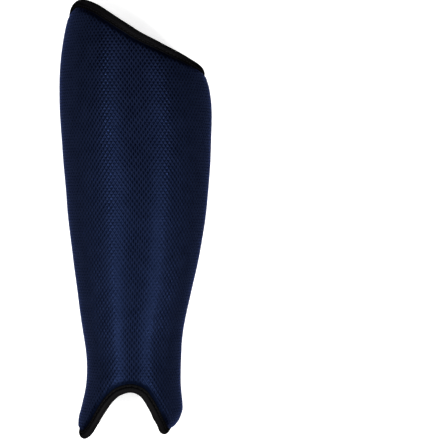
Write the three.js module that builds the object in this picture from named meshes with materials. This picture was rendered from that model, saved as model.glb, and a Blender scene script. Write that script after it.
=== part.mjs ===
// Field hockey shin guard for the right leg, lying open side down on a flat surface.
// Millimetres. X runs across the shin from its outer side (-) to its inner side (+),
// Y runs up the shin from the ankle to the knee, and Z points up from the surface.
// A point of the guard is named by its angle round the shin, 0 on the front line and
// negative on the outer side, and by its height y up the shin.
import * as THREE from "three";

// Driving dimensions
const WALL = 9; // padded wall in the middle: mesh cover, moulded shell and foam
const TONGUE = 3.4; // the wall where the binding squeezes it
const SINK = 1.2; // how far the cover dips where it goes under the binding
const CREASE_END = 9; // distance from the edge where the crease beside the tape ends
const CREASE_SHARE = 0.55; // share of the dip that lies in the crease
const DIP_END = 15; // distance from the edge where the cover has risen to full height
const PAD_END = 20; // distance from the edge where the wall has its full thickness
const TAPE = 1.1; // binding tape
const TAPE_REACH = 6.4; // how far the tape reaches in from the edge
const GAP = 0.35; // clearance between the tape and the wall inside it
const END_GAP = 0.5; // clearance where two lengths of tape meet, as the edge is measured
const CORNER = 18; // radius of the four rounded corners
const SQUASH = 0.8; // how much the binding flattens where it lies on the surface
const SIDE_ANGLE = 117; // degrees from the front line to a side edge
const RIB = 0.4; // height of the two ribs beside the shallow channel down the front
const RIB_ANGLE = 18.5; // degrees from the front line to a rib
const RIB_SPREAD = 11; // degrees over which a rib falls away
const RIB_FADE = { from: 7, to: 24 }; // distance from the edge over which the ribs rise

// Facets
const ACROSS = 36; // facets from side edge to side edge
const ALONG = 32; // facets from ankle to knee
const CROWD_ACROSS = 0.2; // how much the facets crowd towards the side edges
const CROWD_ALONG = 0.45; // how much the facets crowd towards the knee and the ankle
const BEND = 12; // length that a radian of bend adds to the edge as it is measured
const ROLL_TURNS = [90, 60, 30, 0, -30, -60, -90]; // corners of the tape's fold, degrees
const TIP_TURNS = [90, 0, -90]; // corners of the wall's tip inside the fold, degrees
const RIM_RINGS = [TAPE_REACH + GAP, 8.2]; // distances from the edge of the rim's facets
const LOOP_POINTS = 800; // points that trace one edge

// Stations from ankle to knee: how far the widest points stand to the outer side and the
// inner side, where the front line runs, and the heights of the widest points and the front.
const STATIONS = [
  { y: -160, outer: -41.5, inner: 21.5, front: -2.5, widest: 18, crest: 52 },
  { y: -150, outer: -41.5, inner: 30, front: -2.5, widest: 19, crest: 54 },
  { y: -144, outer: -40.5, inner: 33, front: -2.5, widest: 19.5, crest: 55 },
  { y: -138, outer: -39, inner: 34.5, front: -2.5, widest: 20, crest: 55.5 },
  { y: -120, outer: -35.5, inner: 33, front: -2.5, widest: 21, crest: 56 },
  { y: -104, outer: -35, inner: 33, front: -2.5, widest: 22, crest: 56 },
  { y: -80, outer: -38, inner: 35, front: -2, widest: 23, crest: 58.5 },
  { y: -50, outer: -42, inner: 41.5, front: 0, widest: 25, crest: 62.5 },
  { y: -15, outer: -46.5, inner: 48.5, front: 2, widest: 27, crest: 67 },
  { y: 20, outer: -50, inner: 53, front: 3, widest: 29, crest: 71 },
  { y: 55, outer: -53, inner: 55, front: 1.5, widest: 30.5, crest: 74 },
  { y: 85, outer: -54.5, inner: 55, front: -0.5, widest: 31, crest: 76.5 },
  { y: 105, outer: -54.5, inner: 51.5, front: -1, widest: 31, crest: 78 },
  { y: 130, outer: -52, inner: 44, front: -1, widest: 30.5, crest: 79.5 },
  { y: 160, outer: -46, inner: 36, front: -1.5, widest: 29.5, crest: 81 },
];

// The knee edge: a rounded ear on the outer side that slopes down to the inner side.
const KNEE_EDGE = [
  { angle: -117, y: 140 },
  { angle: -100, y: 149 },
  { angle: -88, y: 154 },
  { angle: -76, y: 157.5 },
  { angle: -64, y: 159 },
  { angle: -53, y: 158 },
  { angle: -44, y: 156 },
  { angle: -33, y: 152.5 },
  { angle: -22, y: 147.5 },
  { angle: -9, y: 141 },
  { angle: 5, y: 134 },
  { angle: 23, y: 127.5 },
  { angle: 41, y: 121.5 },
  { angle: 59, y: 116.5 },
  { angle: 78, y: 112.5 },
  { angle: 90, y: 110.5 },
  { angle: 117, y: 104 },
];

// The ankle edge: an arch over the instep between two lobes.
const ANKLE_EDGE = [
  { angle: -117, y: -152 },
  { angle: -98, y: -158 },
  { angle: -84, y: -160 },
  { angle: -73, y: -160.5 },
  { angle: -61, y: -159 },
  { angle: -51, y: -155 },
  { angle: -43, y: -149 },
  { angle: -37, y: -142 },
  { angle: -31, y: -136 },
  { angle: -23, y: -130.5 },
  { angle: -15, y: -127 },
  { angle: -1, y: -125 },
  { angle: 10, y: -127.5 },
  { angle: 16, y: -132 },
  { angle: 23, y: -139 },
  { angle: 30, y: -145.5 },
  { angle: 40, y: -151 },
  { angle: 52, y: -155.5 },
  { angle: 66, y: -158 },
  { angle: 82, y: -158.5 },
  { angle: 98, y: -157 },
  { angle: 117, y: -152 },
];

const { clamp, degToRad, lerp, smoothstep } = THREE.MathUtils;
const SIDE = degToRad(SIDE_ANGLE);

// A smooth function through a table's rows: cubic pieces that take their slopes from the
// rows on either side.
function through(rows, at, value) {
  const x = rows.map((row) => row[at]);
  const v = rows.map((row) => row[value]);
  const last = rows.length - 1;
  const slopes = x.map((_, i) => {
    const before = Math.max(i - 1, 0);
    const after = Math.min(i + 1, last);
    return (v[after] - v[before]) / (x[after] - x[before]);
  });
  return (asked) => {
    const t = clamp(asked, x[0], x[last]);
    let i = 0;
    while (i < last - 1 && t > x[i + 1]) i++;
    const step = x[i + 1] - x[i];
    const s = (t - x[i]) / step;
    const rise = v[i + 1] - v[i];
    const start = slopes[i] * step - rise;
    const end = rise - slopes[i + 1] * step;
    return lerp(v[i], v[i + 1], s) + s * (1 - s) * (start * (1 - s) + end * s);
  };
}

const outer = through(STATIONS, "y", "outer");
const inner = through(STATIONS, "y", "inner");
const front = through(STATIONS, "y", "front");
const widest = through(STATIONS, "y", "widest");
const crest = through(STATIONS, "y", "crest");

// The outer face of the wall without its ribs. at.x is the angle and at.y the height.
// In front of the widest points a section is half an ellipse, and behind them a taller
// ellipse takes the side walls down to the surface.
function face(at) {
  const middle = front(at.y);
  const reach = at.x < 0 ? middle - outer(at.y) : inner(at.y) - middle;
  const low = widest(at.y);
  const rise = Math.abs(at.x) < Math.PI / 2 ? crest(at.y) - low : -low / Math.cos(SIDE);
  const x = middle + reach * Math.sin(at.x);
  return new THREE.Vector3(x, at.y, low + rise * Math.cos(at.x));
}

// How the face moves for a step of angle and for a step of height.
function steps(at) {
  const small = 1e-3;
  const turn = new THREE.Vector2(small, 0);
  const climb = new THREE.Vector2(0, small);
  const slope = (step) =>
    face(at.clone().add(step))
      .sub(face(at.clone().sub(step)))
      .divideScalar(2 * small);
  return { turn: slope(turn), climb: slope(climb) };
}

function outward(at) {
  const { turn, climb } = steps(at);
  return turn.cross(climb).normalize();
}

// A point that stands off the face along its normal.
function standOff(at, height) {
  return face(at).addScaledVector(outward(at), height);
}

// How far a rounded corner pulls an edge back, near a side edge.
function cornerPull(angle, y) {
  const perRadian = steps(new THREE.Vector2(Math.sign(angle) * SIDE, y)).turn.length();
  const fromSide = (SIDE - Math.abs(angle)) * perRadian;
  if (fromSide >= CORNER) return 0;
  return CORNER - Math.sqrt(CORNER ** 2 - (CORNER - fromSide) ** 2);
}

// The knee edge or the ankle edge from the outer side to the inner side, corners rounded.
// The points crowd towards the corners.
function traceEdge(rows, pullsDown) {
  const y = through(rows, "angle", "y");
  return Array.from({ length: LOOP_POINTS + 1 }, (_, i) => {
    const angle = SIDE * Math.sin((Math.PI / 2) * ((2 * i) / LOOP_POINTS - 1));
    const plain = y(THREE.MathUtils.radToDeg(angle));
    const pull = cornerPull(angle, plain);
    return new THREE.Vector2(angle, pullsDown ? plain - pull : plain + pull);
  });
}

// A side edge between two points.
function traceSide(from, to) {
  return Array.from({ length: LOOP_POINTS - 1 }, (_, i) =>
    from.clone().lerp(to, (i + 1) / LOOP_POINTS),
  );
}

// The whole edge as one closed line: knee, inner side, ankle, outer side. Distances along
// it count its bends too, so that facets crowd where it bends.
const knee = traceEdge(KNEE_EDGE, true);
const ankle = traceEdge(ANKLE_EDGE, false).reverse();
const innerSide = traceSide(knee.at(-1), ankle[0]);
const outerSide = traceSide(ankle.at(-1), knee[0]);
const loop = [...knee, ...innerSide, ...ankle, ...outerSide];
const loopFaces = loop.map(face);
const loopSteps = loopFaces.map((p, i) => loopFaces[(i + 1) % loop.length].clone().sub(p));
const loopDistances = [0];
loopSteps.forEach((step, i) => {
  const bend = step.angleTo(loopSteps[(i + 1) % loop.length]);
  loopDistances.push(loopDistances[i] + step.length() + BEND * bend);
});
const LOOP_LENGTH = loopDistances.at(-1);

// The point at a distance along the edge.
function edgePoint(distance) {
  const d = THREE.MathUtils.euclideanModulo(distance, LOOP_LENGTH);
  let low = 0;
  let high = loop.length;
  while (high - low > 1) {
    const half = (low + high) >> 1;
    if (loopDistances[half] <= d) low = half;
    else high = half;
  }
  const share = (d - loopDistances[low]) / (loopDistances[high] - loopDistances[low]);
  return loop[low].clone().lerp(loop[high % loop.length], share);
}

// The point on the face at a distance in from the edge.
function inFromEdge(distance, depth) {
  const reach = 1.5;
  const at = edgePoint(distance);
  const ahead = face(edgePoint(distance + reach));
  const along = ahead.sub(face(edgePoint(distance - reach))).normalize();
  const { turn, climb } = steps(at);
  const normal = turn.clone().cross(climb).normalize();
  const inwards = along.cross(normal);
  const tt = turn.dot(turn);
  const tc = turn.dot(climb);
  const cc = climb.dot(climb);
  const it = inwards.dot(turn);
  const ic = inwards.dot(climb);
  const area = tt * cc - tc * tc;
  const angle = (it * cc - ic * tc) / area;
  const height = (ic * tt - it * tc) / area;
  return new THREE.Vector2(at.x + depth * angle, at.y + depth * height);
}

function edgeDistance(at) {
  const here = face(at);
  let nearest = Infinity;
  for (const p of loopFaces) nearest = Math.min(nearest, p.distanceToSquared(here));
  return Math.sqrt(nearest);
}

// Where each corner's middle lies along the edge, in the loop's order.
const cornerShare = 1 - Math.SQRT1_2;
const isPastCorner = (at) => cornerPull(at.x, at.y) < cornerShare * CORNER;
const kneeStart = knee.findIndex(isPastCorner);
const kneeEnd = knee.findLastIndex(isPastCorner);
const beforeAnkle = knee.length + innerSide.length;
const ankleStart = beforeAnkle + ankle.findIndex(isPastCorner);
const ankleEnd = beforeAnkle + ankle.findLastIndex(isPastCorner);
const [kneeFrom, kneeTo] = [loopDistances[kneeStart], loopDistances[kneeEnd]];
const [ankleFrom, ankleTo] = [loopDistances[ankleStart], loopDistances[ankleEnd]];
const STRETCHES = {
  knee: { from: kneeFrom, to: kneeTo, count: ACROSS, crowding: CROWD_ACROSS },
  innerSide: { from: kneeTo, to: ankleFrom, count: ALONG, crowding: CROWD_ALONG },
  ankle: { from: ankleFrom, to: ankleTo, count: ACROSS, crowding: CROWD_ACROSS },
  outerSide: { from: ankleTo, to: kneeFrom + LOOP_LENGTH, count: ALONG, crowding: CROWD_ALONG },
};

// Shares from 0 to 1 that crowd towards both ends.
function shares(count, crowding) {
  return Array.from({ length: count + 1 }, (_, i) => {
    const wave = Math.sin((2 * Math.PI * i) / count) / (2 * Math.PI);
    return i / count - crowding * wave;
  });
}

// Places along a stretch of the edge, both ends included.
function places({ from, to, count, crowding }) {
  return shares(count, crowding).map((share) => lerp(from, to, share));
}

// Heights of the wall's two faces against the plain face, by distance from the edge.
function ribs(at) {
  const degrees = THREE.MathUtils.radToDeg(Math.abs(at.x));
  return RIB * Math.exp(-(((degrees - RIB_ANGLE) / RIB_SPREAD) ** 2));
}

function coverHeight(at, depth) {
  const crease = 1 - smoothstep(depth, TAPE_REACH, CREASE_END);
  const dip = 1 - smoothstep(depth, TAPE_REACH, DIP_END);
  const sink = SINK * lerp(dip, crease, CREASE_SHARE);
  return ribs(at) * smoothstep(depth, RIB_FADE.from, RIB_FADE.to) - sink;
}

function liningHeight(depth) {
  const squeezed = SINK + TONGUE;
  return -lerp(squeezed, WALL, smoothstep(depth, TAPE_REACH, PAD_END));
}

// The fold that the tape and the wall's tip share: its middle lies this deep and this low.
const FOLD_RADIUS = TONGUE / 2 + GAP + TAPE;
const FOLD_LOW = -SINK - TONGUE / 2;
function onFold(radius, degrees) {
  const turn = degToRad(degrees);
  return {
    depth: FOLD_RADIUS - radius * Math.cos(turn),
    height: FOLD_LOW + radius * Math.sin(turn),
  };
}

// Triangles for a strip of quads between two rows of corner numbers.
function strip(triangles, row, next, closed) {
  const count = closed ? row.length : row.length - 1;
  for (let i = 0; i < count; i++) {
    const j = (i + 1) % row.length;
    triangles.push(row[i], next[i], row[j], row[j], next[i], next[j]);
  }
}

function solid(points, triangles) {
  const geometry = new THREE.BufferGeometry().setFromPoints(points);
  return geometry.setIndex(triangles);
}

// The padded wall: rings of facets round its rim, and a grid inside them on each face.
function paddedShell() {
  const points = [];
  const triangles = [];
  const add = (point) => points.push(point) - 1;
  const rim = Object.values(STRETCHES).flatMap((stretch) => places(stretch).slice(0, -1));
  const ring = ({ depth, height }) =>
    rim.map((place) => {
      const at = inFromEdge(place, depth);
      return add(standOff(at, height ?? coverHeight(at, depth)));
    });
  const tip = TIP_TURNS.map((turn) => onFold(TONGUE / 2, turn));
  const coverRim = RIM_RINGS.map((depth) => ({ depth }));
  const liningRim = RIM_RINGS.map((depth) => ({ depth, height: liningHeight(depth) }));
  const rings = [...coverRim.reverse(), ...tip, ...liningRim].map(ring);
  rings.slice(1).forEach((next, i) => strip(triangles, next, rings[i], true));

  // The innermost ring's points, side by side, and a grid blended between its four sides.
  const depth = RIM_RINGS.at(-1);
  const side = (stretch) => places(stretch).map((place) => inFromEdge(place, depth));
  const top = side(STRETCHES.knee);
  const right = side(STRETCHES.innerSide);
  const bottom = side(STRETCHES.ankle).reverse();
  const left = side(STRETCHES.outerSide).reverse();
  const sharesAcross = shares(ACROSS, CROWD_ACROSS);
  const sharesAlong = shares(ALONG, CROWD_ALONG);
  const blend = (i, j) => {
    const u = sharesAcross[i];
    const v = sharesAlong[j];
    const across = left[j].clone().lerp(right[j], u);
    const along = top[i].clone().lerp(bottom[i], v);
    const upper = top[0].clone().lerp(top[ACROSS], u);
    const lower = bottom[0].clone().lerp(bottom[ACROSS], u);
    return across.add(along).sub(upper.lerp(lower, v));
  };
  const rimIndex = (i, j) => {
    if (j === 0) return i;
    if (i === ACROSS) return ACROSS + j;
    if (j === ALONG) return 2 * ACROSS + ALONG - i;
    return i === 0 ? (2 * (ACROSS + ALONG) - j) % rim.length : -1;
  };
  const grid = (edgeRing, heightAt) =>
    Array.from({ length: ALONG + 1 }, (_, j) =>
      Array.from({ length: ACROSS + 1 }, (_, i) => {
        const known = rimIndex(i, j);
        if (known >= 0) return edgeRing[known];
        const at = blend(i, j);
        return add(standOff(at, heightAt(at, edgeDistance(at))));
      }),
    );
  const cover = grid(rings[0], coverHeight);
  const lining = grid(rings.at(-1), (_, distance) => liningHeight(distance));
  for (let j = 0; j < ALONG; j++) {
    strip(triangles, cover[j], cover[j + 1], false);
    strip(triangles, lining[j + 1], lining[j], false);
  }
  return { points, triangles };
}

// A length of binding tape folded over the edge: a band with an outer and an inner path.
function binding(stretch) {
  const fold = (radius) => [
    { depth: TAPE_REACH, height: FOLD_LOW + radius },
    ...ROLL_TURNS.map((turn) => onFold(radius, turn)),
    { depth: TAPE_REACH, height: FOLD_LOW - radius },
  ];
  const section = [...fold(FOLD_RADIUS), ...fold(FOLD_RADIUS - TAPE).reverse()];
  const points = [];
  const triangles = [];
  const add = (point) => points.push(point) - 1;
  const rows = places(stretch).map((place) => {
    const kept = clamp(place, stretch.from + END_GAP / 2, stretch.to - END_GAP / 2);
    return section.map(({ depth, height }) => add(standOff(inFromEdge(kept, depth), height)));
  });
  rows.slice(1).forEach((next, i) => strip(triangles, rows[i], next, true));
  const cap = (row) => {
    const half = section.length / 2;
    const outside = row.slice(0, half);
    return [outside, row.slice(half).reverse()];
  };
  const [startOutside, startInside] = cap(rows[0]);
  const [endOutside, endInside] = cap(rows.at(-1));
  strip(triangles, startInside, startOutside, false);
  strip(triangles, endOutside, endInside, false);
  return { points, triangles };
}

const shapes = {
  padded_shell: paddedShell(),
  knee_binding: binding(STRETCHES.knee),
  ankle_binding: binding(STRETCHES.ankle),
  outer_side_binding: binding(STRETCHES.outerSide),
  inner_side_binding: binding(STRETCHES.innerSide),
};

// The guard's weight presses the binding flat where it lies on the surface.
const everyPoint = Object.values(shapes).flatMap(({ points }) => points);
const floor = Math.min(...everyPoint.map((p) => p.z)) + SQUASH;
everyPoint.forEach((p) => (p.z = Math.max(p.z, floor)));

const navyMesh = new THREE.MeshStandardMaterial({ color: 0x18213c, roughness: 0.62, metalness: 0 });
const blackTape = new THREE.MeshStandardMaterial({ color: 0x141416, roughness: 0.7, metalness: 0 });

const guard = new THREE.Group();
for (const [name, { points, triangles }] of Object.entries(shapes)) {
  const mesh = new THREE.Mesh(solid(points, triangles), blackTape);
  mesh.name = name;
  guard.add(mesh);
}
guard.getObjectByName("padded_shell").material = navyMesh;

// The origin is the middle of the guard's footprint on the surface.
const box = new THREE.Box3().setFromPoints(everyPoint);
const middle = box.getCenter(new THREE.Vector3());
guard.position.set(-middle.x, -middle.y, -floor);

export default new THREE.Group().add(guard);
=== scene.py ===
# %% [markdown]
# # A field hockey shin guard
# A padded guard lies open side down, as it would on a bench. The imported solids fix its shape
# and size, so they are loaded first. Everything below dresses them: the mesh-knit cover, the
# lining, the folded edge tape and its stitching.

import bpy
import numpy as np
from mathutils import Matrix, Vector
from mathutils.geometry import delaunay_2d_cdt
from mathutils.kdtree import KDTree


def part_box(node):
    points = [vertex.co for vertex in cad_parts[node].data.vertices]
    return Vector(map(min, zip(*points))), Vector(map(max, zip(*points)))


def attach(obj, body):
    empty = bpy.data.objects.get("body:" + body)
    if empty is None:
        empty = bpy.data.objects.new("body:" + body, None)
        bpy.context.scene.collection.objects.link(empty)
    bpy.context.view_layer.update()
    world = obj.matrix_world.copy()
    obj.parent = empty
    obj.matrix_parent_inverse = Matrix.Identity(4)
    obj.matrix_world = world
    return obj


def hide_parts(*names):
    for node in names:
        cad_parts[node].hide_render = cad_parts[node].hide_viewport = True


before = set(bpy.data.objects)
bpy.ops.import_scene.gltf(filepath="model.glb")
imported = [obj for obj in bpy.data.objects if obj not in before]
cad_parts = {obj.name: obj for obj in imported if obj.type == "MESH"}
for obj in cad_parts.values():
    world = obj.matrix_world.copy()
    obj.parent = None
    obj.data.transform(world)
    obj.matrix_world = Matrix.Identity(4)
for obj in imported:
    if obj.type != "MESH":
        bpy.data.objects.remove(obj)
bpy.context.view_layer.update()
MM = 0.001

# %% [markdown]
# ## The form of the wall
# The wall follows a leg: wide at the calf, narrow above the ankle, with two lobes that hug the
# ankle. It could be sculpted freely, but a knit has to lie evenly on it, so the form is worked
# out as a surface with two coordinates: the angle round the shin, 0 on the front line, and the
# height up the shin. Short tables in millimetres give it at a few stations, and smooth curves
# run through their rows.

# %% Stations from ankle to knee
STATIONS = [
    # height, outer side, inner side, front line, height of the widest points, height of the front
    (-160, -41.5, 21.5, -2.5, 18, 52),
    (-150, -41.5, 30, -2.5, 19, 54),
    (-144, -40.5, 33, -2.5, 19.5, 55),
    (-138, -39, 34.5, -2.5, 20, 55.5),
    (-120, -35.5, 33, -2.5, 21, 56),
    (-104, -35, 33, -2.5, 22, 56),
    (-80, -38, 35, -2, 23, 58.5),
    (-50, -42, 41.5, 0, 25, 62.5),
    (-15, -46.5, 48.5, 2, 27, 67),
    (20, -50, 53, 3, 29, 71),
    (55, -53, 55, 1.5, 30.5, 74),
    (85, -54.5, 55, -0.5, 31, 76.5),
    (105, -54.5, 51.5, -1, 31, 78),
    (130, -52, 44, -1, 30.5, 79.5),
    (160, -46, 36, -1.5, 29.5, 81),
]
# The wall ends at this angle on either side of the front line.
SIDE = np.radians(117)
# The guard is widest at this height.
CALF = 85.0


def through(rows, column):
    """A smooth curve through a table: cubic pieces with slopes from the rows on either side."""
    table = np.array(rows, dtype=float)
    x, v = table[:, 0], table[:, column]
    before = np.maximum(np.arange(len(x)) - 1, 0)
    after = np.minimum(np.arange(len(x)) + 1, len(x) - 1)
    slopes = (v[after] - v[before]) / (x[after] - x[before])

    def curve(asked):
        t = np.clip(asked, x[0], x[-1])
        i = np.clip(np.searchsorted(x, t) - 1, 0, len(x) - 2)
        step = x[i + 1] - x[i]
        share = (t - x[i]) / step
        rise = v[i + 1] - v[i]
        start = slopes[i] * step - rise
        end = rise - slopes[i + 1] * step
        return v[i] + rise * share + share * (1 - share) * (start * (1 - share) + end * share)

    return curve


outer, inner, front, widest, crest = [through(STATIONS, column) for column in range(1, 6)]
print("width at the calf:", inner(CALF) - outer(CALF), "mm")

# %% Points on the face and off it


def face_at(angle, y):
    """Points of the wall's plain outer face."""
    middle = front(y)
    reach = np.where(angle < 0, middle - outer(y), inner(y) - middle)
    low = widest(y)
    rise = np.where(np.abs(angle) < np.pi / 2, crest(y) - low, -low / np.cos(SIDE))
    x, z = middle + reach * np.sin(angle), low + rise * np.cos(angle)
    return np.stack(np.broadcast_arrays(x, y, z), axis=-1)


def slopes_at(angle, y):
    """How the face moves for a step of angle and for a step of height."""
    small = 1e-3
    turn = (face_at(angle + small, y) - face_at(angle - small, y)) / (2 * small)
    climb = (face_at(angle, y + small) - face_at(angle, y - small)) / (2 * small)
    return turn, climb


def unit(vectors):
    """The same directions, one unit long."""
    return vectors / np.linalg.norm(vectors, axis=-1, keepdims=True)


def dot(a, b):
    """The dot products of two rows of vectors."""
    return np.sum(a * b, axis=-1)


def stand_off(angle, y, height):
    """Points that stand off the face along its normal."""
    normal = unit(np.cross(*slopes_at(angle, y)))
    return face_at(angle, y) + normal * np.asarray(height)[..., None]


print("front line at the calf:", face_at(np.array(0.0), np.array(CALF)), "mm")

# %% [markdown]
# ## The edge of the wall
# Tape, stitches and trimmed cloth all follow one closed line, so it is traced once: along the
# knee, down the inner side, under the ankle and up the outer side. Any point near it is then
# named by a distance along it and a depth in from it.

# %% Trace the edge
KNEE_EDGE = [
    # angle in degrees, height
    (-117, 140), (-100, 149), (-88, 154), (-76, 157.5), (-64, 159), (-53, 158), (-44, 156),
    (-33, 152.5), (-22, 147.5), (-9, 141), (5, 134), (23, 127.5), (41, 121.5), (59, 116.5),
    (78, 112.5), (90, 110.5), (117, 104),
]
ANKLE_EDGE = [
    # angle in degrees, height
    (-117, -152), (-98, -158), (-84, -160), (-73, -160.5), (-61, -159), (-51, -155), (-43, -149),
    (-37, -142), (-31, -136), (-23, -130.5), (-15, -127), (-1, -125), (10, -127.5), (16, -132),
    (23, -139), (30, -145.5), (40, -151), (52, -155.5), (66, -158), (82, -158.5), (98, -157),
    (117, -152),
]
# Radius of the rounded corners, and the steps along each side of the trace.
CORNER = 18
TRACE = 900


def corner_pull(angle, y):
    """How far a rounded corner pulls the knee or ankle edge back."""
    turn, _ = slopes_at(np.sign(angle) * SIDE, y)
    from_side = np.clip((SIDE - np.abs(angle)) * np.linalg.norm(turn, axis=-1), 0, CORNER)
    return CORNER - np.sqrt(CORNER**2 - (CORNER - from_side) ** 2)


knee_curve, ankle_curve = through(KNEE_EDGE, 1), through(ANKLE_EDGE, 1)


def knee_line(angle):
    """Height of the knee edge."""
    y = knee_curve(np.degrees(angle))
    return y - corner_pull(angle, y)


def ankle_line(angle):
    """Height of the ankle edge."""
    y = ankle_curve(np.degrees(angle))
    return y + corner_pull(angle, y)


across = SIDE * np.sin(np.linspace(-np.pi / 2, np.pi / 2, TRACE + 1))
knee = np.stack([across, knee_line(across)], axis=1)
ankle = np.stack([across, ankle_line(across)], axis=1)[::-1]
shares = np.linspace(0, 1, TRACE + 1)[1:-1, None]
inner_side = knee[-1] + shares * (ankle[0] - knee[-1])
outer_side = ankle[-1] + shares * (knee[0] - ankle[-1])
edge = np.concatenate([knee, inner_side, ankle, outer_side])
edge_faces = face_at(edge[:, 0], edge[:, 1])
edge_steps = np.linalg.norm(np.roll(edge_faces, -1, axis=0) - edge_faces, axis=1)
edge_distances = np.concatenate([[0], np.cumsum(edge_steps)])
EDGE_LENGTH = edge_distances[-1]
print("length of the edge:", round(EDGE_LENGTH), "mm")

# %% Places along the edge and in from it
closed_edge = np.concatenate([edge, edge[:1]])


def edge_point(distance):
    """Angle and height at distances along the edge."""
    d = np.mod(distance, EDGE_LENGTH)
    return [np.interp(d, edge_distances, closed_edge[:, column]) for column in (0, 1)]


def in_from_edge(distance, depth):
    """Angle and height at a depth in from the edge, square to it."""
    reach = 1.5
    angle, y = edge_point(distance)
    ahead, behind = [face_at(*edge_point(distance + step)) for step in (reach, -reach)]
    turn, climb = slopes_at(angle, y)
    inwards = np.cross(unit(ahead - behind), unit(np.cross(turn, climb)))
    # Solve for the steps of angle and height that add up to one millimetre inwards.
    tt, tc, cc = dot(turn, turn), dot(turn, climb), dot(climb, climb)
    it, ic = dot(inwards, turn), dot(inwards, climb)
    area = tt * cc - tc * tc
    return angle + depth * (it * cc - ic * tc) / area, y + depth * (ic * tt - it * tc) / area


edge_tree = KDTree(len(edge_faces))
for number, point in enumerate(edge_faces):
    edge_tree.insert(point, number)
edge_tree.balance()


def from_edge(angles, heights):
    """Depth in from the edge, below 0 outside it, and the distance along it."""
    found = [edge_tree.find(point) for point in face_at(angles, heights)]
    depths = np.array([nearest for _, _, nearest in found])
    is_within = (heights < knee_line(angles)) & (heights > ankle_line(angles)) & (np.abs(angles) < SIDE)
    return np.where(is_within, depths, -depths), edge_distances[[number for _, number, _ in found]]


print("depth of the front at the calf:", from_edge(np.zeros(1), np.full(1, CALF))[0].round(1), "mm")

# %% [markdown]
# ## Laying cloth on the form
# The cover is a mesh knit: yarn runs in two slanting families that cross, with a small pit in
# each diamond between them. A bump map could draw the diamonds, but they would be missing from
# the mesh and its outline, so they are real relief. That needs a mesh whose points
# line up with the knit. So the form is unrolled: each point gets its distance round the
# section from the front line, and a regular grid, four points to a knit cell each way, is laid
# in that flat pattern. The grid stops short of the edge in steps, and a constrained Delaunay
# triangulation fills the strip between its steps and the smooth trimmed edge.

# %% Unroll the sections
# The table runs a little past the wall on every side. PAST_SIDE is in radians.
PAST_SIDE = 0.15
TABLE_STEPS = 1200
TABLE_HALF_LENGTH = 170
TABLE_ANGLES = np.linspace(-SIDE - PAST_SIDE, SIDE + PAST_SIDE, TABLE_STEPS + 1)
TABLE_HEIGHTS = np.arange(-TABLE_HALF_LENGTH, TABLE_HALF_LENGTH + 1.0)
sections = face_at(TABLE_ANGLES[None, :], TABLE_HEIGHTS[:, None])
section_steps = np.linalg.norm(np.diff(sections, axis=1), axis=2)
girth_table = np.pad(np.cumsum(section_steps, axis=1), ((0, 0), (1, 0)))
girth_table -= girth_table[:, [TABLE_STEPS // 2]]


def girths(y):
    """Distances round the section at one height, for the table's angles."""
    row = int(np.clip(np.floor(y - TABLE_HEIGHTS[0]), 0, len(TABLE_HEIGHTS) - 2))
    share = y - TABLE_HEIGHTS[row]
    return girth_table[row] * (1 - share) + girth_table[row + 1] * share


def flatten(angles, heights):
    """Points of the flat pattern: distance round the section, and height."""
    rounds = [np.interp(angle, TABLE_ANGLES, girths(y)) for angle, y in zip(angles, heights)]
    return np.stack([rounds, heights], axis=1)


calf_edges = np.interp([-SIDE, SIDE], TABLE_ANGLES, girths(CALF))
print("flat width at the calf:", round(calf_edges[1] - calf_edges[0]), "mm")

# %% Trim the pattern, and grid it
TRIM_DEPTH = 5.2
TRIM_COUNT = 720
HALF_GIRTH, HALF_LENGTH = 110, 166
trim_places = np.arange(TRIM_COUNT) * EDGE_LENGTH / TRIM_COUNT
trim_angles, trim_heights = in_from_edge(trim_places, TRIM_DEPTH)
trim_flat = flatten(trim_angles, trim_heights)


def lay_grid(step, along):
    """Columns, rows, flat points and angles of a regular grid over the pattern."""
    columns = np.arange(-int(HALF_GIRTH / step), int(HALF_GIRTH / step) + 1)
    rows = np.arange(-int(HALF_LENGTH / along), int(HALF_LENGTH / along) + 1)
    flat = np.stack(np.meshgrid(columns * step, rows * along), axis=-1)
    angles = np.array([np.interp(row[:, 0], girths(row[0, 1]), TABLE_ANGLES) for row in flat])
    return columns, rows, flat, angles


def square_corners(grid):
    """The four corners of every square of a grid, in order round the square."""
    return grid[:-1, :-1], grid[:-1, 1:], grid[1:, 1:], grid[1:, :-1]


def grid_triangles(numbers, is_whole, is_even):
    """Two triangles for each whole square, split along the diagonal that the yarn follows."""
    a, b, c, d = [corner[is_whole] for corner in square_corners(numbers)]
    follows_rise = is_even[is_whole][:, None]
    lower = np.where(follows_rise, np.stack([a, b, c], axis=1), np.stack([a, b, d], axis=1))
    upper = np.where(follows_rise, np.stack([a, c, d], axis=1), np.stack([b, c, d], axis=1))
    return np.concatenate([lower, upper])


print("trimmed cloth, flat:", np.ptp(trim_flat, axis=0).round(), "mm")

# %% Fill its border
NEIGHBOURS = [
    # row and column steps to the next square, then the two corners of the side between
    ((-1, 0), (0, 0), (0, 1)),
    ((1, 0), (1, 0), (1, 1)),
    ((0, -1), (0, 0), (1, 0)),
    ((0, 1), (0, 1), (1, 1)),
]
# What the triangulation returns: only triangles inside the lines. Closer points are merged.
INSIDE_LINES, MERGE_WITHIN = 1, 1e-6


def stepped_outline(is_whole, numbers):
    """Pairs of point numbers along the outline of the whole squares."""
    ringed = np.pad(is_whole, 1)
    rows, columns = is_whole.shape
    pairs = []
    for (dj, di), p, q in NEIGHBOURS:
        beside = ringed[1 + dj : 1 + dj + rows, 1 + di : 1 + di + columns]
        j, i = np.nonzero(is_whole & ~beside)
        pairs += zip(numbers[j + p[0], i + p[1]].tolist(), numbers[j + q[0], i + q[1]].tolist())
    return pairs


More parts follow.
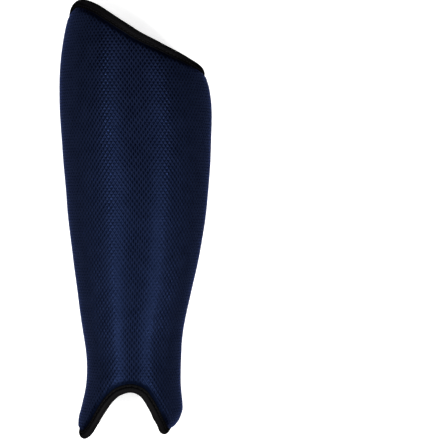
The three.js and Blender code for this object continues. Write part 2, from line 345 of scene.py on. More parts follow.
def fill_triangles(flat, stepped):
    """Triangles inside the trimmed edge that keep to it and to the stepped outline."""
    order = [*range(TRIM_COUNT), *sorted({number for pair in stepped for number in pair})]
    place = {number: k for k, number in enumerate(order)}
    trimmed = [(k, (k + 1) % TRIM_COUNT) for k in range(TRIM_COUNT)]
    lines = trimmed + [(place[p], place[q]) for p, q in stepped]
    points = [Vector(flat[number]) for number in order]
    _, _, filled, origins, _, _ = delaunay_2d_cdt(points, lines, [], INSIDE_LINES, MERGE_WITHIN)
    return np.array([[order[origins[k][0]] for k in triangle] for triangle in filled])


def cloth_face(step, along):
    """Angles, flat pattern and triangles of a face. The trimmed edge's points come first."""
    columns, rows, flat, angles = lay_grid(step, along)
    depths, _ = from_edge(angles.ravel(), flat[..., 1].ravel())
    is_clear = depths.reshape(angles.shape) > TRIM_DEPTH + max(step, along) / 2
    is_whole = np.logical_and.reduce(square_corners(is_clear))
    is_used = np.zeros_like(is_clear)
    for corner in square_corners(is_used):
        corner |= is_whole
    numbers = np.full(is_clear.shape, -1)
    numbers[is_used] = TRIM_COUNT + np.arange(is_used.sum())
    is_even = (columns[None, :-1] + rows[:-1, None]) % 2 == 0
    all_flat = np.concatenate([trim_flat, flat[is_used]])
    fill = fill_triangles(all_flat, stepped_outline(is_whole, numbers))

    # The fill also covers the whole squares, which have their own triangles, so that part is dropped.
    middles = all_flat[fill].mean(axis=1)
    i = np.floor(middles[:, 0] / step).astype(int) - columns[0]
    j = np.floor(middles[:, 1] / along).astype(int) - rows[0]
    border = fill[~is_whole[j, i]]
    triangles = np.concatenate([grid_triangles(numbers, is_whole, is_even), border])
    return np.concatenate([trim_angles, angles[is_used]]), all_flat, triangles


# Width and height of a knit cell.
KNIT_WIDE = 3.12
KNIT_TALL = 4.44
PER_CELL = 4
cover_angles, cover_flat, cover_triangles = cloth_face(KNIT_WIDE / PER_CELL, KNIT_TALL / PER_CELL)
print("cover:", len(cover_flat), "points,", len(cover_triangles), "triangles")

# %% [markdown]
# ## Padding
# Foam gives the wall its thickness, and the tape squeezes it thin at the edge: a tight crease
# beside the tape, then a slow rise. The seam also gathers the cover into small puckers. Two low
# ribs run down the front with a shallow channel between them. Where the cover is pulled tight
# over the front its yarn lies flatter. Round the sides it is slack, so its pits are deeper, and
# a mark paints the sides paler, as painted light. A cloth simulation could swell the cover, but
# this cover is glued to a moulded wall and can't move far, so its heights are written down
# instead: foam, ribs, a slow unevenness, puckers, and the yarn.

# %% Shapes on the cover
# Heights, depths in from the edge and lengths are in millimetres, angles in degrees.
SINK = 1.2
TAPE_REACH = 6.4
CREASE_END = 9
CREASE_SHARE = 0.55
DIP_END = 15
RIB = 0.4
RIB_ANGLE = 18.5
RIB_SPREAD = 11
RIB_FADE = (7, 24)
YARN_TIGHT = 3
PUCKER, PUCKER_PITCH, PUCKER_REACH = 0.16, 7.5, 5
FOAM_WAVES = [
    # height, length round the shin, length up it, start
    (0.11, 7, 19, 0),
    (0.1, 11, -13, 2),
    (0.08, np.inf, 6, 1),
]


def smoothstep(x, low, high):
    """0 up to low, 1 from high, and a smooth rise between."""
    share = np.clip((x - low) / (high - low), 0, 1)
    return share * share * (3 - 2 * share)


def yarn_on(flat):
    """1 on a yarn, 0 in a pit of the knit."""
    u = flat[:, 0] / KNIT_WIDE + flat[:, 1] / KNIT_TALL
    v = flat[:, 0] / KNIT_WIDE - flat[:, 1] / KNIT_TALL
    one, other = [(0.5 + 0.5 * np.cos(2 * np.pi * t)) ** YARN_TIGHT for t in (u, v)]
    return 1 - (1 - one) * (1 - other)


def unevenness(flat):
    """Slow waves in the foam, a few tenths of a millimetre high."""
    s, y = flat.T
    return sum(high * np.sin(s / wide + y / tall + start) for high, wide, tall, start in FOAM_WAVES)


cover_yarn = yarn_on(cover_flat)
print("yarn covers", round(100 * cover_yarn.mean()), "% of the knit")

# %% Heights of the cover
MID_YARN = 0.5
FRONT_RELIEF, SIDE_RELIEF, SIDES_FROM = 0.5, 1.05, (14, 26)
# Painted light round the sides, added to the yarn mark, which the finish reads as a paler colour.
SIDE_PAINTED_LIGHT, SIDE_LIGHT_FROM = 0.16, (25, 60)
# From the tape in to this depth the knit gets painted shade in its colour and is made duller.
SEAM_SHADE_END = 10.5
FINE_FADE = 1.5
cover_degrees = np.abs(np.degrees(cover_angles))
cover_depths, cover_along = from_edge(cover_angles, cover_flat[:, 1])
ribs = RIB * np.exp(-(((cover_degrees - RIB_ANGLE) / RIB_SPREAD) ** 2))
crease = 1 - smoothstep(cover_depths, TAPE_REACH, CREASE_END)
dip = 1 - smoothstep(cover_depths, TAPE_REACH, DIP_END)
past_tape = smoothstep(cover_depths, TAPE_REACH, TAPE_REACH + FINE_FADE)
by_tape = np.exp(-(cover_depths - TAPE_REACH) / PUCKER_REACH)
puckers = by_tape * np.sin(2 * np.pi * cover_along / PUCKER_PITCH)
at_side = smoothstep(cover_degrees, *SIDES_FROM)
relief = FRONT_RELIEF + (SIDE_RELIEF - FRONT_RELIEF) * at_side
cover_side_light = smoothstep(cover_degrees, *SIDE_LIGHT_FROM)
cover_seam_shade_and_dull = 1 - smoothstep(cover_depths, TAPE_REACH, SEAM_SHADE_END)
cover_heights = (
    ribs * smoothstep(cover_depths, *RIB_FADE)
    - SINK * (CREASE_SHARE * crease + (1 - CREASE_SHARE) * dip)
    + past_tape * (relief * (cover_yarn - MID_YARN) + PUCKER * puckers + unevenness(cover_flat))
)
cover_points = stand_off(cover_angles, cover_flat[:, 1], cover_heights)
print("cover heights:", cover_heights.min().round(2), "to", cover_heights.max().round(2), "mm")

# %% [markdown]
# ## Lining and rim
# Behind the foam lies the lining, and under the tape the wall is squeezed to a thin tongue. A
# Solidify modifier could thicken the cover, but it would copy the knit to the inside and keep one
# thickness. So the lining is a coarser face of its own, and rings of points round the tongue's
# tip join the two into one closed wall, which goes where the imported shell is.

# %% Lining and rim
WALL = 9
TONGUE = 3.4
PAD_END = 20
LINING_STEP = 2.6
# The fold of the tape lies this deep in from the edge, and stands this far off its middle.
FOLD_DEPTH = 3.15
FOLD_RISE = 2.75
FOLD_LOW = -SINK - TONGUE / 2
TIP_TURNS = np.radians([90, 60, 30, 0, -30, -60, -90])
lining_angles, lining_flat, lining_triangles = cloth_face(LINING_STEP, LINING_STEP)
lining_depths, _ = from_edge(lining_angles, lining_flat[:, 1])
squeezed = SINK + TONGUE
lining_heights = -squeezed - (WALL - squeezed) * smoothstep(lining_depths, TAPE_REACH, PAD_END)
lining_points = stand_off(lining_angles, lining_flat[:, 1], lining_heights)

rim_points, rim_flat = [], []
for tip_turn in TIP_TURNS:
    at = in_from_edge(trim_places, FOLD_DEPTH - TONGUE / 2 * np.cos(tip_turn))
    rim_points.append(stand_off(*at, np.full(TRIM_COUNT, FOLD_LOW + TONGUE / 2 * np.sin(tip_turn))))
    rim_flat.append(flatten(*at))
print("lining:", len(lining_flat), "points; rim:", len(rim_points) * TRIM_COUNT, "points")

# %% Close the wall
CLOTH_FACE, LINING_FACE = 0, 1


def strip(ring, following):
    """Quads between two closed rings of point numbers."""
    return np.stack([ring, following, np.roll(following, -1), np.roll(ring, -1)], axis=1)


first_ring = np.arange(TRIM_COUNT)
rim_from = len(cover_points)
lining_from = rim_from + TRIM_COUNT * len(TIP_TURNS)
rings = [first_ring]
rings += [first_ring + rim_from + TRIM_COUNT * k for k in range(len(TIP_TURNS))]
rings += [first_ring + lining_from]
rim_quads = np.concatenate([strip(*pair) for pair in zip(rings, rings[1:])])
wall_points = np.concatenate([cover_points, *rim_points, lining_points])
wall_flat = np.concatenate([cover_flat, *rim_flat, lining_flat])
beyond_cover = len(wall_points) - rim_from
wall_marks = {
    # The yarn mark also carries painted light, which makes the sides paler.
    "yarn": np.concatenate([cover_yarn + SIDE_PAINTED_LIGHT * cover_side_light, np.full(beyond_cover, MID_YARN)]),
    # The seam mark paints shade into the colour beside the tape, and dulls the knit there.
    "seam_shade_and_dull": np.concatenate([cover_seam_shade_and_dull, np.ones(beyond_cover)]),
}
wall_faces = [
    *cover_triangles.tolist(),
    *rim_quads.tolist(),
    *(lining_triangles[:, ::-1] + lining_from).tolist(),
]
wall_finish = [CLOTH_FACE] * (len(cover_triangles) + len(rim_quads))
wall_finish += [LINING_FACE] * len(lining_triangles)
print("wall:", len(rings), "rings in the rim,", len(wall_faces), "faces")

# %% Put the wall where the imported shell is
shell_low, shell_high = [np.array(corner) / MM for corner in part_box("padded_shell")]
wall_low, wall_high = wall_points.min(axis=0), wall_points.max(axis=0)
PLACE = (shell_low + shell_high - wall_low - wall_high) / 2
PLACE[2] = shell_high[2] - wall_high[2]
print("moved by", PLACE.round(2), "mm")


def make_piece(name, points, faces, nodes=()):
    """A smooth-shaded piece that rides with the guard and lies on the floor."""
    placed = points + PLACE
    placed[:, 2] = np.maximum(placed[:, 2], 0)
    mesh = bpy.data.meshes.new(name)
    mesh.from_pydata((placed * MM).tolist(), [], faces)
    mesh.shade_smooth()
    piece = bpy.data.objects.new(name, mesh)
    bpy.context.scene.collection.objects.link(piece)
    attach(piece, "root")
    if nodes:
        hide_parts(*nodes)
    print(name + ":", len(points), "points,", len(faces), "faces")
    return piece


def give_pattern(piece, name, flat):
    """A flat pattern in metres, as texture coordinates."""
    corners = np.empty(len(piece.data.loops), dtype=np.int32)
    piece.data.loops.foreach_get("vertex_index", corners)
    layer = piece.data.uv_layers.new(name=name)
    layer.data.foreach_set("uv", (flat[corners] * MM).ravel().astype(np.float32))


wall = make_piece("padded_wall", wall_points, wall_faces, ["padded_shell"])
give_pattern(wall, "cloth", wall_flat)
for mark, values in wall_marks.items():
    wall.data.attributes.new(mark, "FLOAT", "POINT").data.foreach_set("value", values)
wall.data.polygons.foreach_set("material_index", wall_finish)

# %% [markdown]
# ## Folded tape round the edge
# A woven tape is folded over the edge and sewn through both its sides at once. It rolls round
# the squeezed wall, dips into a groove where the seam pulls it down, and ends in a thin lip. A
# bevelled curve would give it one plain section, so the section is listed point by point and
# swept along the edge in short steps, because the seam also gathers the tape: it swells between
# one stitch and the next.

# %% Section of the tape
STITCH_LENGTH = 3.2
STITCH_COUNT = int(round(EDGE_LENGTH / STITCH_LENGTH))
STITCH_PITCH = EDGE_LENGTH / STITCH_COUNT
STITCH_DEPTH = 4.8
LIP = [
    # depth in from the edge, height
    (6.46, -1.08), (6.4, -0.84), (6.1, -0.66), (5.7, -0.66), (5.3, -0.8),
    (4.8, -1.0), (4.4, -0.78), (4.0, -0.44), (3.6, -0.22),
]
UNDERSIDE = [(4.6, -1.1), (6.3, -1.14)]
CLEARANCE = 0.3
ROLL_TURNS = np.radians(np.arange(84, -85, -12))


def on_fold(reach, rise, turns):
    """Points of a flattened roll round the squeezed wall."""
    return [(FOLD_DEPTH - reach * np.cos(t), FOLD_LOW + rise * np.sin(t)) for t in turns]


def mirrored(profile):
    """The same profile on the lining's side of the fold."""
    return [(depth, 2 * FOLD_LOW - height) for depth, height in reversed(profile)]


roll = on_fold(FOLD_DEPTH, FOLD_RISE, ROLL_TURNS)
# The hollow that holds the tongue runs the other way round, with a third of the points.
hollow_radius = TONGUE / 2 + CLEARANCE
hollow = on_fold(hollow_radius, hollow_radius, ROLL_TURNS[::-3])
tape_section = np.array(LIP + roll + mirrored(LIP) + mirrored(UNDERSIDE) + hollow + UNDERSIDE)
section_loop = np.diff(tape_section, axis=0, prepend=tape_section[:1])
tape_across = np.cumsum(np.linalg.norm(section_loop, axis=1))
print("tape section:", len(tape_section), "points")

# %% Sweep four lengths of tape
TAPE_GAP = 0.12
ROWS_PER_STITCH = 4
TAPE_STEP = STITCH_PITCH / ROWS_PER_STITCH
# The tape is painted paler up to these depths from the edge: partly wear, partly painted light on the
# roll.
FOLD_PAINT_FADE = (1.2, 4.6)
# The lengths meet half-way round each corner.
corner_share = 1 - np.sqrt(0.5)
is_past_corner = corner_pull(edge[:, 0], edge[:, 1]) < corner_share * CORNER
ankle_from = len(knee) + len(inner_side)
knee_rows = np.flatnonzero(is_past_corner[: len(knee)])
ankle_rows = np.flatnonzero(is_past_corner[ankle_from : ankle_from + len(ankle)]) + ankle_from
knee_from, knee_to = edge_distances[knee_rows[[0, -1]]]
ankle_start, ankle_end = edge_distances[ankle_rows[[0, -1]]]
GATHER, GATHER_ALL_OVER, SEAM_WIDTH = 0.09, 0.4, 0.6
DRIFT_FROM = 1
TAPE_DRIFTS = [
    # height, length along the tape, start
    (0.1, 4.3, 0),
    (0.08, 6.7, 1),
]
STRETCHES = {
    "knee": (knee_from, knee_to),
    "inner_side": (knee_to, ankle_start),
    "ankle": (ankle_start, ankle_end),
    "outer_side": (ankle_end, knee_from + EDGE_LENGTH),
}


def swept(rows, first=0):
    """Faces of a closed tube: quads between its rows of points, and a cap at each end."""
    count, width = rows.shape[:2]
    numbers = first + np.arange(count * width).reshape(count, width)
    quads = np.concatenate([strip(*pair) for pair in zip(numbers, numbers[1:])])
    return [*quads.tolist(), numbers[0].tolist(), numbers[-1][::-1].tolist()]


def tape_rows(places):
    """The section at places along the edge, gathered by the seam and a little uneven."""
    swell = GATHER * np.cos(2 * np.pi * places / STITCH_PITCH)
    drift = sum(high * np.sin(places / long + start) for high, long, start in TAPE_DRIFTS)
    columns = []
    for depth, height in tape_section:
        at_seam = np.exp(-(((depth - STITCH_DEPTH) / SEAM_WIDTH) ** 2))
        by_fold = 1 - smoothstep(depth, DRIFT_FROM, TAPE_REACH)
        lift = swell * (GATHER_ALL_OVER + at_seam) + drift * by_fold
        outwards = np.sign(height - FOLD_LOW)
        columns.append(stand_off(*in_from_edge(places, depth), height + outwards * lift))
    return np.stack(columns, axis=1)


tapes = []
for stretch, (start, end) in STRETCHES.items():
    count = int(round((end - start) / TAPE_STEP))
    places = np.linspace(start + TAPE_GAP / 2, end - TAPE_GAP / 2, count + 1)
    rows = tape_rows(places)
    tape = make_piece(
        f"{stretch}_tape", rows.reshape(-1, 3), swept(rows), [f"{stretch}_binding"]
    )
    pattern = np.stack(np.meshgrid(places, tape_across, indexing="ij"), axis=-1)
    give_pattern(tape, "tape", pattern.reshape(-1, 2))
    fold_wear_and_light = np.tile(1 - smoothstep(tape_section[:, 0], *FOLD_PAINT_FADE), count + 1)
    tape.data.attributes.new("fold_wear_and_light", "FLOAT", "POINT").data.foreach_set("value", fold_wear_and_light)
    tapes.append(tape)

# %% [markdown]
# ## Stitches
# A lockstitch shows as a row of short raised threads in the groove, on both sides of the fold.
# Each is a small closed tube whose ends dive into the tape.

# %% Sew the tape
THREAD, THREAD_TAPER = 0.27, 0.8
STITCH_HALF = 1.15
STITCH_TOP, STITCH_DIVE = -0.76, 0.34
STITCH_RINGS = np.linspace(-1, 1, 7)
THREAD_TURNS = np.radians(np.arange(0, 360, 60))
middles = (np.arange(STITCH_COUNT) + 0.5) * STITCH_PITCH
from_middle = STITCH_RINGS[:, None]
thick = THREAD * np.sqrt(1 - THREAD_TAPER * from_middle**2)
bowed = STITCH_TOP - STITCH_DIVE * from_middle**2
stitch_places, stitch_depths, stitch_heights, thread_round = np.broadcast_arrays(
    middles[:, None, None] + STITCH_HALF * from_middle,
    STITCH_DEPTH + thick * np.cos(THREAD_TURNS),
    bowed + thick * np.sin(THREAD_TURNS),
    THREAD * THREAD_TURNS,
)
stitch_at = in_from_edge(stitch_places.ravel(), stitch_depths.ravel())
thread_size = len(STITCH_RINGS) * len(THREAD_TURNS)
stitch_points, stitch_faces = [], []
for side in (1, -1):
    heights = FOLD_LOW + side * (stitch_heights - FOLD_LOW)
    threads = stand_off(*stitch_at, heights.ravel()).reshape(*stitch_places.shape, 3)
    for thread in threads:
        # On the lining's side a thread is mirrored, so its rings run the other way round.
        ordered = thread[:, ::-side]
        stitch_faces += swept(ordered, len(stitch_points) * thread_size)
        stitch_points.append(ordered.reshape(-1, 3))
stitching = make_piece("edge_stitching", np.concatenate(stitch_points), stitch_faces)
thread_pattern = np.stack([stitch_places, thread_round], axis=-1).reshape(-1, 2)
give_pattern(stitching, "thread", np.concatenate([thread_pattern, thread_pattern]))

# %% [markdown]
# ## Finishes
# Colours are written as screen values, which are easy to compare with a picture, and turned
# into the linear values that a shader works in. One helper adds a node and links it. A Math
# node's inputs have only numbers: the ones below multiply input 0 by input 1 and add input 2.

# %% Helpers for finishes
# Places of a Mix node's share, its two colours and its mixed colour.
MIX_SHARE, MIX_A, MIX_B, MIX_RESULT = 0, 6, 7, 2


def linear(code):
    """Linear RGBA for an sRGB hex colour."""
    values = [int(code[k : k + 2], 16) / 255 for k in (1, 3, 5)]
    return [*(c / 12.92 if c <= 0.04045 else ((c + 0.055) / 1.055) ** 2.4 for c in values), 1]


def add_node(tree, kind, inputs, **settings):
    """Adds a node, sets its properties, and sets or links its inputs."""
    node = tree.nodes.new(kind)
    for name, value in settings.items():
        setattr(node, name, value)
    for name, value in inputs.items():
        if isinstance(value, bpy.types.NodeSocket):
            tree.links.new(value, node.inputs[name])
        else:
            node.inputs[name].default_value = value
    return node


def start_material(name, *pieces):
    """An empty material on the pieces, and its node tree."""
    material = bpy.data.materials.new(name)
    material.use_nodes = True
    material.node_tree.nodes.clear()
    for piece in pieces:
        piece.data.materials.append(material)
    return material.node_tree


print("mid grey on screen is", round(linear("#808080")[0], 3), "in linear light")

# %% [markdown]
# ## The mesh knit
# The cover is knitted from smooth polyester filament, dyed navy, and heat-set so that its small
# cells stay open. The bright filament gives soft bluish highlights along each yarn, the open
# cells look nearly black, and loose fibre ends give a faint glow at the sides. One plain navy
# would hide all of that, so the colour follows the yarn of the mesh, and noise adds dye patches.
# Beside the tape the colour is painted darker, as painted shade in the crease, and round the
# sides it is painted paler, as painted light.

# %% Polyester mesh knit
KNIT_PIT, KNIT_YARN = "#000001", "#111729"
DYE_PATCH = 9
# Filaments are some 0.02 mm thick, too fine for a pixel, so they are drawn 0.8 mm wide.
KNIT_FIBRE = 0.8
tree = start_material("polyester_mesh_knit", wall)
# Besides the yarn pattern, this mark carries painted light that makes the sides paler.
yarn = add_node(tree, "ShaderNodeAttribute", {}, attribute_name="yarn")
seam_shade_and_dull = add_node(tree, "ShaderNodeAttribute", {}, attribute_name="seam_shade_and_dull")
cloth = add_node(tree, "ShaderNodeUVMap", {}, uv_map="cloth")
patches = add_node(
    tree,
    "ShaderNodeTexNoise",
    {"Vector": cloth.outputs["UV"], "Scale": 1 / (DYE_PATCH * MM), "Detail": 3},
)
fibres = add_node(
    tree,
    "ShaderNodeTexNoise",
    {"Vector": cloth.outputs["UV"], "Scale": 1 / (KNIT_FIBRE * MM), "Detail": 2},
)
print("dye patches of", DYE_PATCH, "mm and fibres of", KNIT_FIBRE, "mm")

# %% Colour and shine of the knit
KNIT_FUZZ = 0.08
# SEAM_SHADE darkens the colour beside the tape: painted shade in the crease. SEAM_DULL dulls it.
DYE_SHARE, SEAM_SHADE, SEAM_DULL = 0.5, -1.0, 0.4
shade = add_node(
    tree,
    "ShaderNodeMath",
    {0: patches.outputs["Fac"], 1: DYE_SHARE, 2: yarn.outputs["Fac"]},
    operation="MULTIPLY_ADD",
)
with_seam_shade = add_node(
    tree,
    "ShaderNodeMath",
    {0: seam_shade_and_dull.outputs["Fac"], 1: SEAM_SHADE, 2: shade.outputs["Value"]},
    operation="MULTIPLY_ADD",
)
navy = add_node(
    tree,
    "ShaderNodeMapRange",
    {"Value": with_seam_shade.outputs["Value"], "From Min": 0.45, "From Max": 1.25},
)
colour = add_node(
    tree,
    "ShaderNodeMix",
    {MIX_SHARE: navy.outputs["Result"], MIX_A: linear(KNIT_PIT), MIX_B: linear(KNIT_YARN)},
    data_type="RGBA",
)
dull_seam = add_node(
    tree,
    "ShaderNodeMath",
    {0: seam_shade_and_dull.outputs["Fac"], 1: SEAM_DULL, 2: fibres.outputs["Fac"]},
    operation="MULTIPLY_ADD",
)
roughness = add_node(
    tree,
    "ShaderNodeMapRange",
    {
        "Value": dull_seam.outputs["Value"],
        "From Min": 0.3,
        "From Max": 1.1,
        "To Min": 0.16,
        "To Max": 0.8,
    },
)
fuzz = add_node(
    tree,
    "ShaderNodeBump",
    {"Height": fibres.outputs["Fac"], "Distance": KNIT_FUZZ * MM, "Strength": 0.6},
)
surface = add_node(
    tree,
    "ShaderNodeBsdfPrincipled",
    {
        "Base Color": colour.outputs[MIX_RESULT],
        "Roughness": roughness.outputs["Result"],
        "IOR": 1.5,
        "Specular IOR Level": 0.14,
        "Specular Tint": linear("#739bff"),
        "Sheen Weight": 0.6,
        "Sheen Roughness": 0.3,
        "Sheen Tint": linear("#6a80d8"),
        "Normal": fuzz.outputs["Normal"],
    },
)
add_node(tree, "ShaderNodeOutputMaterial", {"Surface": surface.outputs["BSDF"]})
print("knit nodes:", len(tree.nodes))

# %% [markdown]
# ## The lining
# Guards of this kind are lined with a knit whose face was brushed into a short nap, soft on the
# skin. The nap scatters light, so it shows no highlight, only a dull charcoal that is lighter
# where the fibres stand up. Two noises draw it: one for the nap and one for the brush's strokes.

# %% Brushed polyester lining
# The nap's fibres are finer than a pixel, so the nap is drawn in tufts of 1.6 mm.
NAP_TUFT = 1.6
BRUSH_STROKE = 24
NAP_HEIGHT = 0.5
NAP_SHARE = 0.6
tree = start_material("brushed_polyester_lining", wall)
cloth = add_node(tree, "ShaderNodeUVMap", {}, uv_map="cloth")
pile = add_node(
    tree,
    "ShaderNodeTexNoise",
    {"Vector": cloth.outputs["UV"], "Scale": 1 / (NAP_TUFT * MM), "Detail": 4},
)
brushed = add_node(
    tree,
    "ShaderNodeTexNoise",
    {"Vector": cloth.outputs["UV"], "Scale": 1 / (BRUSH_STROKE * MM), "Detail": 2},
)
tone = add_node(
    tree,
    "ShaderNodeMath",
    {0: pile.outputs["Fac"], 1: NAP_SHARE, 2: brushed.outputs["Fac"]},
    operation="MULTIPLY_ADD",
)
charcoal = add_node(
    tree, "ShaderNodeMapRange", {"Value": tone.outputs["Value"], "From Min": 0.5, "From Max": 1.1}
)
colour = add_node(
    tree,
    "ShaderNodeMix",
    {MIX_SHARE: charcoal.outputs["Result"], MIX_A: linear("#0f1115"), MIX_B: linear("#24272e")},
    data_type="RGBA",
)
nap = add_node(
    tree, "ShaderNodeBump", {"Height": pile.outputs["Fac"], "Distance": NAP_HEIGHT * MM, "Strength": 0.8}
)
surface = add_node(
    tree,
    "ShaderNodeBsdfPrincipled",
    {
        "Base Color": colour.outputs[MIX_RESULT],
        "Roughness": 0.9,
        "IOR": 1.5,
        "Specular IOR Level": 0.1,
        "Sheen Weight": 0.15,
        "Sheen Roughness": 0.5,
        "Sheen Tint": linear("#aab2c4"),
        "Normal": nap.outputs["Normal"],
    },
)
add_node(tree, "ShaderNodeOutputMaterial", {"Surface": surface.outputs["BSDF"]})
print("lining nodes:", len(tree.nodes))

# %% [markdown]
# ## The tape
# The tape is a ribbed weave: fine warp along it, and thicker weft that makes cords across it.
# Black dye and a calender press leave it dull with a slight shine on the cords. The fold is
# painted a little paler, partly as wear and partly as painted light caught on its roll. A wave
# draws the cords, a stretched noise the warp, and a mark on the mesh says where the fold is.

# %% Woven polyester tape
# Bands of a wave texture turn through 20 radians for each unit of its scale.
BAND_PHASE = 20
# Real cords are about 0.5 mm apart, too fine for a pixel, so they are drawn 1.5 mm apart.
WEFT_PITCH = 1.5
WARP_WIDTH, WARP_SQUEEZE = 0.9, 0.06
tree = start_material("woven_polyester_tape", *tapes)
along = add_node(tree, "ShaderNodeUVMap", {}, uv_map="tape")
weft = add_node(
    tree,
    "ShaderNodeTexWave",
    {
        "Vector": along.outputs["UV"],
        "Scale": 2 * np.pi / (BAND_PHASE * WEFT_PITCH * MM),
        "Distortion": 0.8,
    },
    bands_direction="X",
)
stretched = add_node(
    tree, "ShaderNodeMapping", {"Vector": along.outputs["UV"], "Scale": (WARP_SQUEEZE, 1, 1)}
)
warp = add_node(
    tree,
    "ShaderNodeTexNoise",
    {"Vector": stretched.outputs["Vector"], "Scale": 1 / (WARP_WIDTH * MM), "Detail": 2},
)
print("cords", WEFT_PITCH, "mm apart and warp of", WARP_WIDTH, "mm")

# %% Colour and shine of the tape
CORD_HEIGHT = 0.12
CORD_SHARE, FOLD_PAINT_SHARE = 0.25, 0.5
wear = add_node(
    tree,
    "ShaderNodeMath",
    {0: weft.outputs["Fac"], 1: CORD_SHARE, 2: warp.outputs["Fac"]},
    operation="MULTIPLY_ADD",
)
# Paler towards the fold: partly wear, partly painted light caught on the roll.
fold_wear_and_light = add_node(tree, "ShaderNodeAttribute", {}, attribute_name="fold_wear_and_light")
by_fold = add_node(
    tree,
    "ShaderNodeMath",
    {0: fold_wear_and_light.outputs["Fac"], 1: FOLD_PAINT_SHARE, 2: wear.outputs["Value"]},
    operation="MULTIPLY_ADD",
)
black = add_node(
    tree, "ShaderNodeMapRange", {"Value": by_fold.outputs["Value"], "From Min": 0.55, "From Max": 1.3}
)
colour = add_node(
    tree,
    "ShaderNodeMix",
    {MIX_SHARE: black.outputs["Result"], MIX_A: linear("#010102"), MIX_B: linear("#0d0c0d")},
    data_type="RGBA",
)
cords = add_node(
    tree, "ShaderNodeBump", {"Height": weft.outputs["Fac"], "Distance": CORD_HEIGHT * MM, "Strength": 0.7}
)
surface = add_node(
    tree,
    "ShaderNodeBsdfPrincipled",
    {
        "Base Color": colour.outputs[MIX_RESULT],
        "Roughness": 0.55,
        "IOR": 1.5,
        "Specular IOR Level": 0.045,
        "Normal": cords.outputs["Normal"],
    },
)
add_node(tree, "ShaderNodeOutputMaterial", {"Surface": surface.outputs["BSDF"]})
print("tape nodes:", len(tree.nodes))

# %% [markdown]
# ## The thread
# Sewing thread is spun from short polyester fibres and twisted from a few plies, so slanting
# dark lines wind round it and its fuzz dulls the shine. A diagonal wave draws the plies.

# %% Spun polyester thread
# Diagonal bands turn half as fast, through 10 radians.
DIAGONAL_PHASE = 10
# Real plies come round about every 0.6 mm, too fine for a pixel, so they are drawn 1.2 mm apart.
TWIST_PITCH = 1.2
PLY_HEIGHT = 0.06
tree = start_material("spun_polyester_thread", stitching)
along = add_node(tree, "ShaderNodeUVMap", {}, uv_map="thread")
twist = add_node(
    tree,
    "ShaderNodeTexWave",
    {"Vector": along.outputs["UV"], "Scale": 2 * np.pi / (DIAGONAL_PHASE * TWIST_PITCH * MM)},
    bands_direction="DIAGONAL",
)
colour = add_node(
    tree,
    "ShaderNodeMix",
    {MIX_SHARE: twist.outputs["Fac"], MIX_A: linear("#050505"), MIX_B: linear("#131213")},
    data_type="RGBA",
)
plies = add_node(
    tree, "ShaderNodeBump", {"Height": twist.outputs["Fac"], "Distance": PLY_HEIGHT * MM, "Strength": 0.7}
)
surface = add_node(
    tree,
    "ShaderNodeBsdfPrincipled",
    {
        "Base Color": colour.outputs[MIX_RESULT],
        "Roughness": 0.5,
        "IOR": 1.5,
        "Specular IOR Level": 0.12,
        "Normal": plies.outputs["Normal"],
    },
)
add_node(tree, "ShaderNodeOutputMaterial", {"Surface": surface.outputs["BSDF"]})
print("thread nodes:", len(tree.nodes))

# %% [markdown]
# ## Studio
# The guard lies on a pale floor that glows a little, as a light table does, so its shadow stays
# faint. Its laminate is pressed matt, so it scatters light evenly and only a faint grain shows.
# Two strip lights draw one soft bright band each down the ribs. Two spots and a lamp stand
# towards the ankle and rake the knit, which brings out its slanting yarns, and two low fills
# lift the sides. A sun would light the whole guard at one angle and draw no band. The camera
# looks straight down with a long lens.

# %% Floor
scene = bpy.context.scene
scene.view_settings.view_transform = "Standard"
# Half the floor's width in metres, and how far it lies below the guard in millimetres.
FLOOR_HALF, FLOOR_DROP = 3.0, 0.1
floor_mesh = bpy.data.meshes.new("floor")
floor_mesh.from_pydata(
    [(x * FLOOR_HALF, y * FLOOR_HALF, -FLOOR_DROP * MM) for x, y in ((-1, -1), (1, -1), (1, 1), (-1, 1))],
    [],
    [(0, 1, 2, 3)],
)
floor = bpy.data.objects.new("floor", floor_mesh)
scene.collection.objects.link(floor)
# A pale floor mirrored at a slant would put a whitish line along the sides, where dark cloth
# is seen to stay navy, so the floor and the sky are kept out of reflections.
floor.visible_glossy = False
# Real grain is about 0.3 mm, too fine for a pixel, so it is drawn 3 mm wide.
GRAIN = 3
tree = start_material("matt_white_laminate", floor)
spot = add_node(tree, "ShaderNodeTexCoord", {})
grain = add_node(
    tree, "ShaderNodeTexNoise", {"Vector": spot.outputs["Object"], "Scale": 1 / (GRAIN * MM), "Detail": 2}
)
colour = add_node(
    tree,
    "ShaderNodeMix",
    {MIX_SHARE: grain.outputs["Fac"], MIX_A: linear("#f3f3f3"), MIX_B: linear("#f9f9f9")},
    data_type="RGBA",
)
surface = add_node(
    tree,
    "ShaderNodeBsdfPrincipled",
    {
        "Base Color": colour.outputs[MIX_RESULT],
        "Roughness": 0.9,
        "Specular IOR Level": 0.1,
        "Emission Color": linear("#ffffff"),
        "Emission Strength": 0.52,
    },
)
add_node(tree, "ShaderNodeOutputMaterial", {"Surface": surface.outputs["BSDF"]})
print("floor:", 2 * FLOOR_HALF, "m square")

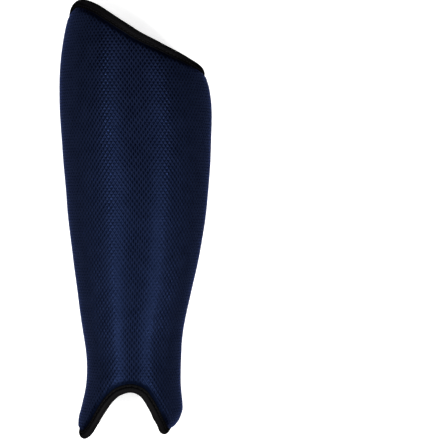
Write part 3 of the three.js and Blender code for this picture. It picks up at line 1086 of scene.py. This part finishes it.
# %% Lights
SKY = 0.45
world = bpy.data.worlds.new("studio")
scene.world = world
world.cycles_visibility.glossy = False
world.use_nodes = True
world.node_tree.nodes["Background"].inputs["Color"].default_value = (1, 1, 1, 1)
world.node_tree.nodes["Background"].inputs["Strength"].default_value = SKY


def add_softbox(name, place, size, power, shows_in_gloss=True):
    """A lamp of a width and a length, which lies along the guard, aimed at its middle."""
    light = bpy.data.lights.new(name, "AREA")
    light.shape = "RECTANGLE"
    light.size, light.size_y = size
    light.energy = power
    softbox = bpy.data.objects.new(name, light)
    softbox.location = place
    softbox.rotation_euler = (-Vector(place)).to_track_quat("-Z", "X").to_euler()
    softbox.visible_camera = False
    softbox.visible_glossy = shows_in_gloss
    scene.collection.objects.link(softbox)
    print(name, "at", place)


add_softbox("left_strip", (-0.55, -0.32, 1.1), (0.38, 0.62), 5.4)
add_softbox("right_strip", (0.52, -0.32, 1.1), (0.38, 0.62), 4.8)
add_softbox("left_spot", (-0.8, -0.6, 0.9), (0.12, 0.12), 8)
add_softbox("right_spot", (0.8, -0.6, 0.9), (0.12, 0.12), 6.5)
# The fills and the ankle lamp stand for light from all round, so they aren't mirrored.
add_softbox("left_fill", (-1.2, -0.2, 0.15), (0.8, 0.8), 6, shows_in_gloss=False)
add_softbox("right_fill", (1.2, -0.2, 0.15), (0.8, 0.8), 4, shows_in_gloss=False)
add_softbox("ankle_lamp", (0, -1.2, 0.9), (0.3, 0.3), 4.5, shows_in_gloss=False)

# %% Camera
# The picture's side and the lens's focal length in pixels, and the pixel of the guard's middle.
FRAME_SIZE = 440
FOCAL_PIXELS = 2411
GUARD_AT = (135.7, 220.8)
CAMERA_HEIGHT = 1.79
SENSOR = 36
lens = bpy.data.cameras.new("camera")
lens.sensor_width = SENSOR
lens.lens = FOCAL_PIXELS * SENSOR / FRAME_SIZE
camera = bpy.data.objects.new("camera", lens)
camera.location = (0, 0, CAMERA_HEIGHT)
aside, below = [np.arctan((FRAME_SIZE / 2 - at) / FOCAL_PIXELS) for at in GUARD_AT]
camera.rotation_euler = (-below, -aside, 0)
scene.collection.objects.link(camera)
scene.camera = camera
print("lens:", round(lens.lens, 1), "mm")
